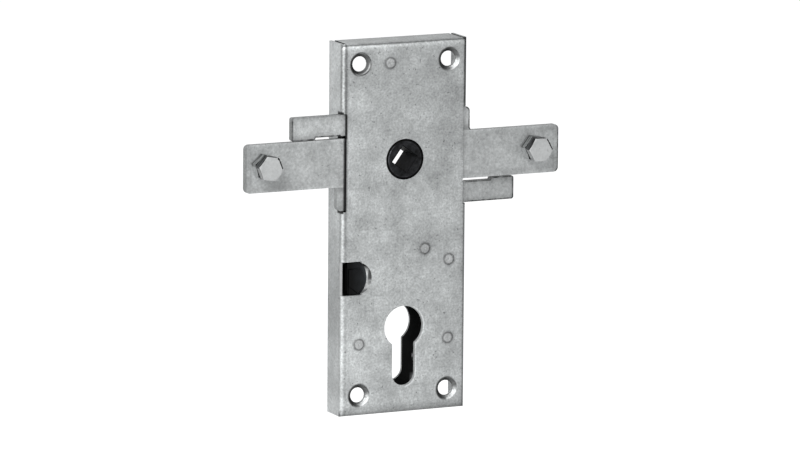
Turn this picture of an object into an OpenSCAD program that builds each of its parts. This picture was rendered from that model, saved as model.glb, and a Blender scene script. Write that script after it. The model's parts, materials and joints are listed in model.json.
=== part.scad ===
// Case lock for an up-and-over garage door: a pressed steel case with a spindle follower,
// two counter-moving slides, a cylinder cut-out and a locking lever with a thumb snib.
// X runs to the right, Y to the back and Z up. The origin is at the centre of the mounting plane.

/* [Case] */
// Width of the case
case_w = 56.5; // [52:0.5:66]
// Height of the case
case_h = 155; // [150:1:175]
// Depth of the case
case_d = 13.5; // [13:0.5:18]
// Thickness of the case sheet
sheet = 1.2; // [0.8:0.1:1.5]
// Outer radius of the folds round the front
bend_r = 2; // [1.6:0.1:2.5]
// Slot between the end flanges and the side walls
relief = 1.2; // [0.6:0.1:2]
// Square cut out of each corner of the back plate
back_notch = 17.5; // [14:0.5:18]
// Gap between the back plate and the walls
back_gap = 0.1; // [0.05:0.05:0.3]

/* [Fixing holes] */
// Distance between the left and right holes
fix_w = 40; // [36:0.5:42]
// Distance between the top and bottom holes
fix_h = 138; // [130:1:142]
// Radius of the holes
fix_r = 3.15; // [2.5:0.05:3.4]
// Radius of the countersinks at the front
fix_sink_r = 4.7; // [4.2:0.1:5]
// Depth that the countersinks are pressed in
fix_sink_d = 1.9; // [1.6:0.1:2.2]

/* [Follower] */
// Height of the follower's axis above the middle of the case
follower_z = 28.5; // [24:0.5:32]
// Side of the square spindle hole
square = 8; // [6:1:9]
// Radius of the front boss
boss_r = 8.4; // [7.6:0.1:8.8]
// Radius of the rear boss
rear_boss_r = 6.6; // [6.4:0.1:6.9]
// Running clearance of turning parts
fit = 0.08; // [0.04:0.01:0.1]
// Distance from the axis to the centre of a finger's round tip
finger_reach = 14.5; // [14:0.1:15]
// Radius of a finger's tip
finger_tip_r = 2.25; // [2:0.05:2.4]
// Clearance beside a finger's tip in its notch
finger_play = 0.45; // [0.35:0.05:0.6]
// Angle of the fingers from the vertical with the slides out
rest_turn = 32.5; // [28:0.5:34]
// Angle of the square hole from the vertical with the slides out
square_turn = 36.5; // [30:0.5:45]

/* [Cylinder cut-out] */
// Distance from the follower's axis down to the cylinder's axis
cylinder_drop = 70; // [66:0.5:74]
// Radius of the round part of the cut-out
cylinder_r = 8.7; // [8.5:0.05:9]
// Width of the leg of the cut-out
leg_w = 10.2; // [10:0.1:10.6]
// Height of the whole cut-out
cylinder_h = 33.4; // [33:0.1:34]

/* [Slides] */
// Thickness of the slides
slide_t = 2.5; // [2:0.1:3]
// Gap in front of and behind the slides
slide_gap = 0.2; // [0.1:0.05:0.4]
// Distance from the axis to the end of an arm
arm_reach = 71; // [66:1:80]
// Width of an arm
arm_w = 20; // [19:0.5:20.5]
// Radius of the corners of an arm and of a tab
slide_corner = 2; // [1:0.1:2.5]
// Distance between an arm and the bar of the other slide
bar_gap = 1.2; // [1:0.1:1.4]
// Distance between an arm and the tab of the other slide
tab_gap = 0.25; // [0.2:0.05:0.5]
// Distance from the axis to the far edge of a bar
bar_edge = 20; // [19.8:0.1:20.4]
// Distance from the axis to the end of a tab
tab_reach = 50.5; // [47:0.5:55]
// Length of a tab's wide end
tab_l = 10.8; // [8:0.1:12]
// Distance from the axis to the outer edge of a stem
stem_reach = 30.1; // [29:0.1:32]
// Gap round the bars in the side windows
window_gap = 0.35; // [0.2:0.05:0.6]

/* [Clamp bolts] */
// Distance from the end of the left arm to its bolt
left_bolt_in = 7.7; // [6.5:0.1:14]
// Distance from the end of the right arm to its bolt
right_bolt_in = 12.2; // [6.5:0.1:14]
// Height of the bolts above the middle of the arms
bolt_rise = 1.2; // [0:0.1:2]
// Diameter of the bolts
bolt_d = 6; // [5:0.5:7]
// Width of the hexagons across the flats
hex_af = 9.5; // [9:0.5:12]
// Height of the bolt heads
head_h = 4; // [3:0.5:5]
// Height of the nuts
nut_h = 5; // [4:0.5:6]
// Length of the bolts behind the arms
tail_l = 8; // [4:0.5:12]

/* [Locking lever] */
// Distance of the lever's pivot to the right of the axis
pivot_x = 9.5; // [8.5:0.5:10.5]
// Drop from the follower's axis to the lever's pivot
pivot_drop = 37.9; // [37:0.1:39]
// Radius of the pivot
pivot_r = 3; // [2.5:0.1:3.4]
// Thickness of the lever
lever_t = 2; // [1.5:0.1:2.2]
// Distance of the locking nose to the left of the axis
nose_x = 20; // [19:0.5:21]
// Width of the locking nose
nose_w = 5; // [4:0.5:5.5]
// Distance that the nose stays below the slide with the lever at rest
nose_gap = 3.1; // [3:0.1:3.6]

/* [Thumb window] */
// Drop from the follower's axis to the middle of the window
window_drop = 48.35; // [48:0.1:49]
// Height of the window
window_h = 14.1; // [13.5:0.1:15]
// Distance from the side of the case to the window's round end
window_reach = 13.6; // [13:0.1:14.5]
// Width of the pressed bevel at the round end
window_bevel = 1.8; // [1.2:0.1:2]
// Thickness of the snib's base
snib_base = 0.9; // [0.7:0.05:1]

/* [Posts and screw] */
// Radius of the spacer posts
post_r = 3.5; // [3:0.1:4]
// Radius of the staked spigots
spigot_r = 2.4; // [2:0.1:2.6]
// Distance of the lower posts from the middle of the case
low_post_x = 20.2; // [19:0.1:22]
// Drop from the cylinder's axis to the lower posts
low_post_drop = 6.1; // [4:0.1:6.5]
// Drop from the cylinder's axis to the cylinder screw
screw_drop = 14.3; // [13.5:0.1:15]
// Diameter of the cylinder screw
screw_d = 5; // [4:0.5:5]

/* [Springs] */
// Wire of the follower's spring
spring_wire = 1.2; // [0.9:0.1:1.3]
// Rise of that spring in a turn
spring_pitch = 1.7; // [1.65:0.05:1.8]
// Turns of that spring
spring_turns = 3; // [2:1:3]
// Wire of the lever's spring
leg_wire = 0.8; // [0.6:0.1:0.9]
// Rise of that spring in a turn
leg_pitch = 1.3; // [1.25:0.05:1.5]

/* [Hidden] */
$fn = 64;
small = 0.02;

// Planes of the layers, counted from the back of the case
front_y = -case_d;
inner_y = front_y + sheet;
slide_y = inner_y + slide_gap;
slide_back_y = slide_y + slide_t;
guide_y = slide_back_y + slide_gap;
guide_back_y = guide_y + sheet;
plate_y = -sheet;

wall_x = case_w/2 - sheet;
cylinder_z = follower_z - cylinder_drop;
pivot_z = follower_z - pivot_drop;
window_z = follower_z - window_drop;
window_end = case_w/2 - window_reach;
top_post = [-6.8, case_h/2 - 8.7];
low_post_z = cylinder_z - low_post_drop;
spring_post_at = [pivot_x + 11, pivot_z - 5.2];
screw_z = cylinder_z - screw_drop;
screw_y = -case_d/2;

travel = 2*finger_reach*sin(rest_turn);
arm_half = arm_w/2;
bar_in = arm_half + bar_gap;
hub_clear = boss_r + 1;
bar_low_z = follower_z - bar_edge;
left_bolt_x = arm_reach - left_bolt_in;
right_bolt_x = arm_reach - right_bolt_in;
thread_r = bolt_d/2 - 0.3;

// A flat piece lying across the case: its outline is drawn in X and Z, and it starts at y0
module plate(y0, t) {
    translate([0, y0 + t, 0]) rotate([90, 0, 0]) linear_extrude(t) children();
}

// A round bar along Y
module rod(x, z, y0, l, r) {
    translate([x, y0, z]) rotate([-90, 0, 0]) cylinder(h = l, r = r);
}

// A cone along Y, from radius r1 at y0 to radius r2
module cone(x, z, y0, l, r1, r2) {
    translate([x, y0, z]) rotate([-90, 0, 0]) cylinder(h = l, r1 = r1, r2 = r2);
}

// A rectangle with rounded corners, between two corners
module round_rect(a, b, r) {
    for (x = [a[0] + r, b[0] - r], z = [a[1] + r, b[1] - r]) translate([x, z]) circle(r);
    translate([a[0] + r, a[1]]) square([b[0] - a[0] - 2*r, b[1] - a[1]]);
    translate([a[0], a[1] + r]) square([b[0] - a[0], b[1] - a[1] - 2*r]);
}

// A strip with round ends between two points; its ends are a little wider, like a punched link
module strip(a, b, w) {
    waist = w - 0.12;
    translate(a) rotate(atan2(b[1] - a[1], b[0] - a[0])) translate([0, -waist/2])
        square([norm(b - a), waist]);
    translate(a) circle(w/2);
    translate(b) circle(w/2);
}

// The cut-out for a profile cylinder, grown by g on all sides
module cylinder_outline(g = 0) {
    leg_end = cylinder_z + cylinder_r - cylinder_h + leg_w/2;
    translate([0, cylinder_z]) circle(cylinder_r + g);
    translate([-leg_w/2 - g, leg_end]) square([leg_w + 2*g, cylinder_z - leg_end]);
    translate([0, leg_end]) circle(leg_w/2 + g);
}

// Section of the folded case across one pair of walls, open at the back
module fold_section(half, y0, r) {
    difference() {
        translate([-half, y0]) square([2*half, -y0 + small]);
        for (s = [-1, 1]) translate([s*half, y0]) difference() {
            square(2*r, center = true);
            translate([-s*r, r]) circle(r);
        }
    }
}

// A block with folded front edges, used for the outside and the inside of the case
module folded_block(w, h, y0, r) {
    intersection() {
        translate([0, 0, -h/2]) linear_extrude(h) fold_section(w/2, y0, r);
        translate([-w/2, 0, 0]) rotate([90, 0, 90]) linear_extrude(w)
            mirror([1, -1]) fold_section(h/2, y0, r);
    }
}

module post_spigot_holes(y0) {
    for (p = post_places()) rod(p[0], p[1], y0 - small, sheet + 2*small, spigot_r + 0.03);
}

function post_places() = [top_post, [-low_post_x, low_post_z], [low_post_x, low_post_z],
                          [pivot_x, pivot_z], spring_post_at];

module thumb_window() {
    front_r = 0.475*window_h;
    inner_r = front_r + 2.2;
    end_half = front_r - 0.35;
    corner = window_end + front_r - sqrt(front_r*front_r - end_half*end_half);
    // straight part, open through the left fold
    translate([-case_w/2 - 1, front_y - 1, window_z - window_h/2])
        cube([case_w/2 + 1 - corner, 1 + bend_r, window_h]);
    // round end, pressed in as a bevel that narrows to its corners
    intersection() {
        translate([-case_w/2, front_y - 1, window_z - end_half]) cube([case_w/2, 1 + bend_r, 2*end_half]);
        hull() {
            rod(-window_end - front_r, window_z, front_y - small, small, front_r, $fn = 48);
            rod(-window_end - window_bevel - inner_r, window_z, front_y + sheet, small, inner_r, $fn = 48);
        }
    }
}

module front_cover() {
    color("silver") difference() {
        union() {
            difference() {
                folded_block(case_w, case_h, front_y, bend_r);
                folded_block(2*wall_x, case_h - 2*sheet, inner_y, bend_r - sheet);
            }
            // metal pressed back round the fixing holes
            for (x = [-1, 1], z = [-1, 1])
                cone(x*fix_w/2, z*fix_h/2, inner_y - small, fix_sink_d - sheet + 0.5,
                     fix_sink_r + 0.5, fix_r + 0.9);
        }
        translate([-case_w, 0, -case_h]) cube([2*case_w, 1, 2*case_h]);
        // slots at the ends of the end flanges
        for (x = [-1, 1], z = [-1, 1])
            translate([x*(wall_x - relief/2) - relief/2, inner_y + bend_r - sheet, z*case_h/2 - 2*sheet])
                cube([relief, case_d, 4*sheet]);
        for (x = [-1, 1], z = [-1, 1]) {
            rod(x*fix_w/2, z*fix_h/2, front_y - 1, 6, fix_r);
            cone(x*fix_w/2, z*fix_h/2, front_y - small, fix_sink_d + small, fix_sink_r, fix_r);
        }
        rod(0, follower_z, front_y - 1, 1 + sheet + small, boss_r + fit);
        plate(front_y - 1, 1 + sheet + small) cylinder_outline();
        // windows for the slides through the walls, open through the folds
        for (s = [-1, 1]) {
            translate([s*(case_w/2 - bend_r + 1.75) - 1.5, front_y - 1, follower_z - bar_edge - window_gap])
                cube([3, 1 + bend_r, 2*(bar_edge + window_gap)]);
            translate([s*(wall_x + 2) - 2 - 0.9, inner_y, follower_z - bar_edge - window_gap])
                cube([4 + 0.9*2, 2*slide_gap + slide_t + 0.4, 2*(bar_edge + window_gap)]);
        }
        thumb_window();
        post_spigot_holes(front_y);
        // countersunk hole for the cylinder screw
        translate([wall_x - small, screw_y, screw_z]) rotate([0, 90, 0])
            cylinder(h = sheet + 2*small, r1 = screw_d/2 + 0.65, r2 = screw_d/2 + 0.65 + sheet);
    }
}

module back_plate() {
    half_w = wall_x - back_gap;
    half_h = case_h/2 - sheet - back_gap;
    color("silver") difference() {
        plate(plate_y, sheet) difference() {
            square([2*half_w, 2*half_h], center = true);
            for (x = [-1, 1], z = [-1, 1]) translate([x*case_w/2, z*case_h/2])
                square(2*back_notch, center = true);
            cylinder_outline();
        }
        rod(0, follower_z, plate_y - 1, 3, rear_boss_r + fit);
        post_spigot_holes(plate_y);
        for (p = rivet_places()) rod(p[0], p[1], plate_y - 1, 3, 1.53);
        rod(bracket_x + 5, screw_z, plate_y - 1, 3, 1.53);
    }
}

// A post between front and back, with a spigot staked through each of them
module post(p, r) {
    rod(p[0], p[1], inner_y, plate_y - inner_y, r);
    rod(p[0], p[1], front_y, case_d, spigot_r);
}

module spacer_posts() {
    color("gray") for (p = [top_post, [-low_post_x, low_post_z], [low_post_x, low_post_z]])
        difference() {
            post(p, post_r);
            cone(p[0], p[1], front_y - small, 0.5, 0.6, 0.1);
        }
}

// The guide is a bridge behind the slides: a bearing for the follower, a flange along
// the top and the bottom, and a foot on each flange
guide_half_w = 23;
guide_half_h = bar_edge - 0.4;
foot = 7;

function rivet_places() = [for (x = [-1, 1], z = [-1, 1])
    [x*(guide_half_w - 6), follower_z + z*(guide_half_h + foot/2)]];

module slide_guide() {
    anchor_x = coil_r + spring_wire/2 + 0.2;
    color("darkgray") difference() {
        union() {
            translate([-guide_half_w, guide_y, follower_z - guide_half_h])
                cube([2*guide_half_w, sheet, 2*guide_half_h]);
            for (s = [-1, 1]) {
                translate([-guide_half_w, guide_y, follower_z + s*(guide_half_h - sheet/2) - sheet/2])
                    cube([2*guide_half_w, plate_y - guide_y, sheet]);
                translate([-guide_half_w, plate_y - sheet,
                           follower_z + s*(guide_half_h + foot/2 - sheet/2) - foot/2 - sheet/2])
                    cube([2*guide_half_w, sheet, foot + sheet]);
            }
            // ear that the fixed leg of the follower's spring leans on
            translate([anchor_x, guide_y, follower_z + rear_boss_r + 5])
                cube([sheet, case_d/2, 5]);
        }
        rod(0, follower_z, guide_y - 1, 4, boss_r + fit);
        for (p = rivet_places()) rod(p[0], p[1], plate_y - sheet - 1, 3, 1.53);
    }
}

module guide_rivets() {
    color("gray") for (p = rivet_places()) {
        rod(p[0], p[1], plate_y - sheet, 2*sheet, 1.5);
        cone(p[0], p[1], plate_y - sheet - 0.8, 0.8, 1.8, 2.6);
    }
}

// One finger of the follower, pointing up
module finger() {
    translate([0, finger_reach]) circle(finger_tip_r);
    polygon([[-4.2, 0], [4.2, 0], [3.2, boss_r - 0.2], [1.55, finger_reach - 1.9],
             [1.7, finger_reach - 1.2], [-1.7, finger_reach - 1.2], [-1.55, finger_reach - 1.9],
             [-3.2, boss_r - 0.2]]);
}

shoulder_y = guide_back_y + 0.2;
lug_t = spring_wire + 0.3;

module follower() {
    bevel = 0.5;
    color([0.12, 0.12, 0.13]) translate([0, 0, follower_z]) rotate([0, rest_turn, 0]) difference() {
        union() {
            rod(0, 0, front_y + bevel, shoulder_y - front_y - bevel, boss_r);
            cone(0, 0, front_y, bevel, boss_r - bevel, boss_r);
            plate(slide_y + 0.1, slide_t - 0.2) for (a = [0, 180]) rotate(a) finger();
            rod(0, 0, shoulder_y - small, -shoulder_y + small, rear_boss_r);
            // lug that winds the spring
            intersection() {
                rod(0, 0, shoulder_y - small, lug_t + small, boss_r);
                translate([-boss_r - 1, shoulder_y - small, -1.3]) cube([boss_r, lug_t + small, 2.6]);
            }
        }
        // square hole with a lead-in for the spindle
        rotate([0, square_turn - rest_turn, 0]) {
            translate([-square/2, front_y - 1, -square/2]) cube([square, case_d + 2, square]);
            translate([0, front_y - small, 0]) rotate([-90, 45, 0])
                cylinder(h = 0.3, r1 = square/sqrt(2) + 0.42, r2 = square/sqrt(2), $fn = 4);
        }
    }
}

// A wire along a list of points: rings of six corners joined into one tube
function unit(v) = v/norm(v);
function wire_ring(p, t, r) =
    let (n = unit(cross(t, [0, 1, 0])), b = cross(n, t))
    [for (a = [0:60:300]) p + r*cos(a)*n + r*sin(a)*b];

module wire(path, r) {
    last = len(path) - 1;
    rings = [for (i = [0:last])
        wire_ring(path[i], unit(path[min(i + 1, last)] - path[max(i - 1, 0)]), r)];
    points = [for (ring = rings, p = ring) p];
    sides = [for (i = [0:last - 1], k = [0:5]) let (m = (k + 1)%6)
        each [[6*i + k, 6*i + m, 6*i + 6 + m], [6*i + k, 6*i + 6 + m, 6*i + 6 + k]]];
    ends = [for (k = [1:4]) each [[0, k + 1, k], [6*last, 6*last + k, 6*last + k + 1]]];
    polyhedron(points, concat(sides, ends));
}

// Points of a coil round Y, from angle a0, in steps of 15 degrees
function coil(at, r, pitch, turns, a0) = [for (i = [0:24*turns])
    let (a = a0 + 15*i) [at[0] + r*cos(a), at[1] + pitch*i/24, at[2] + r*sin(a)]];

// Least gap between neighbouring turns of a coil, measured on its points
function coil_gap(points, wire_d) =
    min([for (i = [0:len(points) - 25]) norm(points[i + 24] - points[i])]) - wire_d;

coil_r = rear_boss_r + 0.6 + spring_wire/2;
lug_angle = 180 - rest_turn;

module follower_spring() {
    at = [0, shoulder_y + 0.15 + spring_wire/2, follower_z];
    // the coil starts beside the lug and ends on the right, where the fixed leg goes up
    start = lug_angle + 15;
    turns = spring_turns - 1 + (360 - start)/360;
    points = coil(at, coil_r, spring_pitch, turns, start);
    end = points[len(points) - 1];
    echo(follower_spring_gap = coil_gap(points, spring_wire));
    color("dimgray") wire(concat(points, [for (l = [4, 8, 12]) [coil_r, end[1], follower_z + l]]),
                          spring_wire/2);
}

// One slide, drawn round the follower's axis: an arm to the left, a bar below the axis
// that ends in a tab on the right, and a stem that joins them. Both slides are this shape.
module slide_outline() {
    inner = travel + hub_clear;
    notch_x = finger_reach*sin(rest_turn);
    notch_half = finger_tip_r + finger_play;
    notch_end = finger_reach + finger_tip_r + 0.3;
    lock_x = nose_x - 1.8;
    difference() {
        union() {
            round_rect([-arm_reach, -arm_half], [-inner, arm_half], slide_corner);
            translate([-stem_reach, -bar_in - small]) square([stem_reach - travel, bar_in]);
            round_rect([-stem_reach, -bar_edge], [tab_reach, -bar_in], slide_corner);
            translate([-stem_reach, -bar_in - slide_corner - small])
                square([slide_corner, slide_corner + 2*small]);
            round_rect([tab_reach - tab_l, -bar_edge], [tab_reach, -arm_half - tab_gap], slide_corner/2);
            // fillet under the arm at the stem
            translate([-stem_reach - 1.5, -arm_half - 1.5]) square([1.5 + small, 1.5 + small]);
        }
        translate([-stem_reach - 1.5, -arm_half - 1.5]) circle(1.5);
        translate([-travel, 0]) circle(hub_clear);
        translate([-inner - small, 0]) square([inner, arm_half + 1]);
        translate([-notch_x - notch_half, -notch_end]) square([2*notch_half, notch_end]);
        // chamfers at the mouth of the finger's notch
        translate([-notch_x, -bar_in]) polygon([[-notch_half - 0.7, small], [notch_half + 0.7, small],
                                                [notch_half, -0.8], [-notch_half, -0.8]]);
        // recess for the locking nose
        translate([-lock_x - nose_w/2 - 0.7, -bar_edge - 1]) square([nose_w + 1.4, 4.5]);
    }
}

module left_slide() {
    color("lightsteelblue") translate([0, 0, follower_z]) difference() {
        plate(slide_y, slide_t) slide_outline();
        rod(-left_bolt_x, bolt_rise, slide_y - 1, slide_t + 2, thread_r + 0.05);
    }
}

module right_slide() {
    color("lightsteelblue") translate([0, 0, follower_z]) difference() {
        plate(slide_y, slide_t) rotate(180) slide_outline();
        rod(right_bolt_x, bolt_rise, slide_y - 1, slide_t + 2, thread_r + 0.05);
    }
}

hex_r = hex_af/2/cos(30);

// A hexagon with its face at y0 and its front corners turned off
module hex_block(y0, h, turn, face) {
    intersection() {
        rotate([0, -turn, 0]) translate([0, y0, 0]) rotate([-90, 0, 0]) cylinder(h = h, r = hex_r, $fn = 6);
        rod(0, 0, y0 + face, h - face, hex_r + 1);
        union() {
            rod(0, 0, y0 + face + 0.6, h, hex_r + 1);
            cone(0, 0, y0 + face, 0.6 + small, hex_r - 1.05, hex_r + small);
        }
    }
}

module clamp_bolt(x, turn) {
    neck = 0.5;
    color("gainsboro") translate([x, 0, follower_z + bolt_rise]) {
        hex_block(slide_y - nut_h - head_h, head_h, turn, 0);
        // in the nut, in the arm and just behind it the bolt has the middle radius of its thread
        rod(0, 0, slide_y - nut_h - small, nut_h + slide_t + neck + 2*small, thread_r);
        rod(0, 0, slide_back_y + neck, tail_l - neck - 0.6, bolt_d/2);
        cone(0, 0, slide_back_y + tail_l - 0.6 - small, 0.6, bolt_d/2, bolt_d/2 - 0.6);
    }
}

module lock_nut(x, turn) {
    color("gainsboro") translate([x, 0, follower_z + bolt_rise]) difference() {
        hex_block(slide_y - nut_h, nut_h, turn, 0.02);
        rod(0, 0, slide_y - nut_h - 1, nut_h + 2, thread_r + 0.03);
    }
}

module left_clamp_bolt() { clamp_bolt(-left_bolt_x, -9.4); }
module right_clamp_bolt() { clamp_bolt(right_bolt_x, -1.5); }
module left_lock_nut() { lock_nut(-left_bolt_x, -15.3); }
module right_lock_nut() { lock_nut(right_bolt_x, -8.5); }

snib_y = inner_y + 0.1;
lever_y = snib_y + snib_base;
snib_left = wall_x - 1.85;
snib_low = window_z - window_h/2 + 0.4;
snib_places = [for (z = [2.2, -4]) [3.2 - snib_left, window_z + z]];

// The lever runs from its pivot over the cylinder to the thumb window
module locking_lever() {
    pivot = [pivot_x, pivot_z];
    elbow = [-8, window_z + 2];
    color("darkgray") difference() {
        plate(lever_y, lever_t) {
            translate(pivot) circle(pivot_r + 2.6);
            strip(pivot, elbow, 8);
            strip(elbow, [1.5 - nose_x, elbow[1]], 7);
            round_rect([-snib_left + 0.4, snib_low + 0.4], [nose_w/2 + 1.5 - nose_x, window_z + 6], 1.5);
            round_rect([-nose_x - nose_w/2, window_z], [-nose_x + nose_w/2, bar_low_z - nose_gap], 0.8);
            strip(elbow, [-5, cylinder_z + cylinder_r + 6.2], 6);
            strip(pivot, pivot + [6, 0.9], 4);
        }
        rod(pivot_x, pivot_z, lever_y - 1, lever_t + 2, pivot_r + fit);
        for (p = snib_places) rod(p[0], p[1], lever_y - 1, lever_t + 2, 1.23);
    }
}

// Black thumb piece: a base behind the case front and a raised pad in the window
module snib() {
    pad_r = window_h/2 + 0.35;
    pad_end = window_end + window_bevel + 1.5;
    pad_top = window_z + window_h/2 - 3.1;
    ridge = 0.9;
    color([0.1, 0.1, 0.1]) difference() {
        union() {
            plate(snib_y, snib_base) round_rect([-snib_left, snib_low - 0.1], [-window_end - 1.5, window_z + 8.4], 1);
            plate(snib_y - ridge, ridge + small) intersection() {
                translate([-pad_end - pad_r, window_z - 0.4]) circle(pad_r);
                translate([-snib_left + 0.5, snib_low]) square([20, pad_top - snib_low]);
            }
        }
        // sloping cut across the lower corner of the pad
        translate([4.7 - snib_left, snib_y - ridge - small, snib_low]) rotate([0, 38, 0])
            translate([-6, -1, -3]) cube([12, 1.5, 3]);
        for (p = snib_places) rod(p[0], p[1], snib_y - 0.35, 5, 1.23);
    }
}

module snib_rivets() {
    color("gray") for (p = snib_places) {
        rod(p[0], p[1], snib_y - 0.3, snib_base + lever_t + 0.3, 1.2);
        cone(p[0], p[1], lever_y + lever_t, 0.7, 2, 1.3);
    }
}

module lever_pivot() {
    p = [pivot_x, pivot_z];
    shoulder = lever_y + lever_t + 0.1;
    color("gray") difference() {
        union() {
            rod(p[0], p[1], shoulder, plate_y - shoulder, pivot_r + 1.2);
            rod(p[0], p[1], inner_y, shoulder - inner_y + small, pivot_r);
            rod(p[0], p[1], front_y, case_d, spigot_r);
        }
        cone(p[0], p[1], front_y - small, 0.5, 0.6, 0.1);
    }
}

module lever_washer() {
    color("silver") difference() {
        rod(pivot_x, pivot_z, inner_y + 0.05, lever_y - inner_y - 0.15, pivot_r + 2);
        rod(pivot_x, pivot_z, inner_y - 1, 4, pivot_r + 0.1);
    }
}

spring_post_r = 2.4;
leg_coil_r = spring_post_r + 0.4 + leg_wire/2;

module spring_post() {
    color("gray") difference() {
        union() {
            rod(spring_post_at[0], spring_post_at[1], inner_y, plate_y - inner_y, spring_post_r);
            rod(spring_post_at[0], spring_post_at[1], front_y, case_d, spigot_r - 0.05);
            // collar behind the coil
            rod(spring_post_at[0], spring_post_at[1], lever_y + 5.4, plate_y - lever_y - 5.4, 4);
        }
        cone(spring_post_at[0], spring_post_at[1], front_y - small, 0.5, 0.6, 0.1);
    }
}

// The coil sits on its post, one leg under the lever's tail and one against the right wall
module lever_spring() {
    at = [spring_post_at[0], lever_y + lever_t/2, spring_post_at[1]];
    tail = [pivot_x + 6, at[1], pivot_z + 0.9 - 2 - leg_wire/2 - 0.25];
    start = 120;
    points = coil(at, leg_coil_r, leg_pitch, 2 + 240/360, start);
    end = points[len(points) - 1];
    echo(lever_spring_gap = coil_gap(points, leg_wire));
    wall_end = [wall_x - leg_wire/2 - 0.15, end[1], spring_post_at[1] + 8];
    color("dimgray") wire(concat([tail, (tail + points[0])/2], points,
                                 [(end + wall_end)/2, wall_end]), leg_wire/2);
}

bracket_x = 15;

module cylinder_screw() {
    head = screw_d/2 + 0.6 + sheet;
    tip = leg_w/2 + 3;
    color("gray") translate([0, screw_y, screw_z]) rotate([0, 90, 0]) difference() {
        union() {
            translate([0, 0, tip + 0.6]) cylinder(h = wall_x - tip, r = screw_d/2);
            translate([0, 0, tip]) cylinder(h = 0.6 + small, r1 = screw_d/2 - 0.6, r2 = screw_d/2);
            translate([0, 0, case_w/2 - head + screw_d/2])
                cylinder(h = head - screw_d/2, r1 = screw_d/2, r2 = head);
        }
        // screwdriver slot
        translate([-head - 1, -0.6, case_w/2 - 1]) cube([2*head + 2, 1.2, 2]);
    }
}

// Folded bracket on the back plate, tapped for the cylinder screw
module screw_bracket() {
    half = screw_drop - low_post_drop - post_r - 0.5;
    color("darkgray") difference() {
        union() {
            translate([bracket_x, inner_y + 1.5, screw_z - half]) cube([1.5, plate_y - inner_y - 1.5, 2*half]);
            translate([bracket_x, plate_y - 1.5, screw_z - half]) cube([8.5, 1.5, 2*half]);
        }
        translate([bracket_x - 1, screw_y, screw_z]) rotate([0, 90, 0])
            cylinder(h = 4, r = screw_d/2 + 0.03);
        rod(bracket_x + 5, screw_z, plate_y - 3, 4, 1.53);
    }
}

module bracket_rivet() {
    color("gray") {
        rod(bracket_x + 5, screw_z, plate_y - 1.5, 1.5 + sheet, 1.5);
        cone(bracket_x + 5, screw_z, plate_y - 2.2, 0.7, 1.8, 2.6);
    }
}

front_cover();
back_plate();
spacer_posts();
slide_guide();
guide_rivets();
follower();
follower_spring();
left_slide();
left_clamp_bolt();
left_lock_nut();
right_slide();
right_clamp_bolt();
right_lock_nut();
locking_lever();
snib();
snib_rivets();
lever_pivot();
lever_washer();
lever_spring();
spring_post();
cylinder_screw();
screw_bracket();
bracket_rivet();
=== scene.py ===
# Case lock for an up-and-over garage door, seen from the front left: a pressed zinc-plated
# case, a black follower and thumb snib, and two slides with clamp bolts
import json
import math

import bmesh
import bpy
from mathutils import Matrix, Vector


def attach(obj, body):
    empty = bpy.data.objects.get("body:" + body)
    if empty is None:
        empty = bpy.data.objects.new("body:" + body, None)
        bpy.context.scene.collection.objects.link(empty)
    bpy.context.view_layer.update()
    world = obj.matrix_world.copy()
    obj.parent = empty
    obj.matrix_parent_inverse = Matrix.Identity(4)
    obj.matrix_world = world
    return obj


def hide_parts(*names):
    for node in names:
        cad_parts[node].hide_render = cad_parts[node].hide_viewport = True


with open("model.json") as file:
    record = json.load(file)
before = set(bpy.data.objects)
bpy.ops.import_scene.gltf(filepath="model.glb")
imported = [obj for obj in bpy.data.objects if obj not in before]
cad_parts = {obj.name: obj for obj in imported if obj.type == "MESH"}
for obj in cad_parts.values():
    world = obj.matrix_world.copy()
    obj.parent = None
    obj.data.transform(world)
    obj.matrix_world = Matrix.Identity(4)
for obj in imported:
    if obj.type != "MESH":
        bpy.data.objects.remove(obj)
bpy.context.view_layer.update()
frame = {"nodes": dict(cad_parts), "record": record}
nodes = frame["nodes"]
scene = bpy.context.scene
scene.view_settings.view_transform = "Standard"
mm = 0.001
print("frame loaded:", len(nodes), "nodes")


# ---- values of a node tree
noiseRange = (0.3, 0.7)  # most of a noise lies between these


class Level:
    # a value in a node tree: whatever is worked out from it becomes another node
    def __init__(self, tree, socket):
        self.tree, self.socket = tree, socket

    def worked(self, how, other=0.0):
        return draw(self.tree, "ShaderNodeMath", {0: self, 1: other}, operation=how)

    def __add__(self, other):
        return self.worked("ADD", other)

    def __sub__(self, other):
        return self.worked("SUBTRACT", other)

    def __mul__(self, other):
        return self.worked("MULTIPLY", other)

    def __abs__(self):
        return self.worked("ABSOLUTE")

    def least(self, other):
        return self.worked("MINIMUM", other)

    def most(self, other):
        return self.worked("MAXIMUM", other)

    def over(self, low, high, outLow=0.0, outHigh=1.0):
        # 0 to 1, or the levels given, as the value goes over a span
        ends = {"From Min": low, "From Max": high, "To Min": outLow, "To Max": outHigh}
        return draw(self.tree, "ShaderNodeMapRange", {"Value": self, **ends})

    def levelled(self, low, high):
        # a noise brought to these levels
        return self.over(*noiseRange, low, high)

    def ramp(self, stops, span=None):
        # grey levels, at stops that are shares of a span
        made = draw(self.tree, "ShaderNodeValToRGB", {"Fac": self.over(*span) if span else self})
        band = made.socket.node.color_ramp
        while len(band.elements) < len(stops):
            band.elements.new(0.5)
        for element, (place, level) in zip(band.elements, stops):
            element.position = place
            element.color = (level, level, level, 1)
        return made

    def mixed(self, first, second):
        # from the first to the second as this value goes from 0 to 1
        return draw(self.tree, "ShaderNodeMix", {0: self, 6: first, 7: second}, 2, data_type="RGBA")


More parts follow.
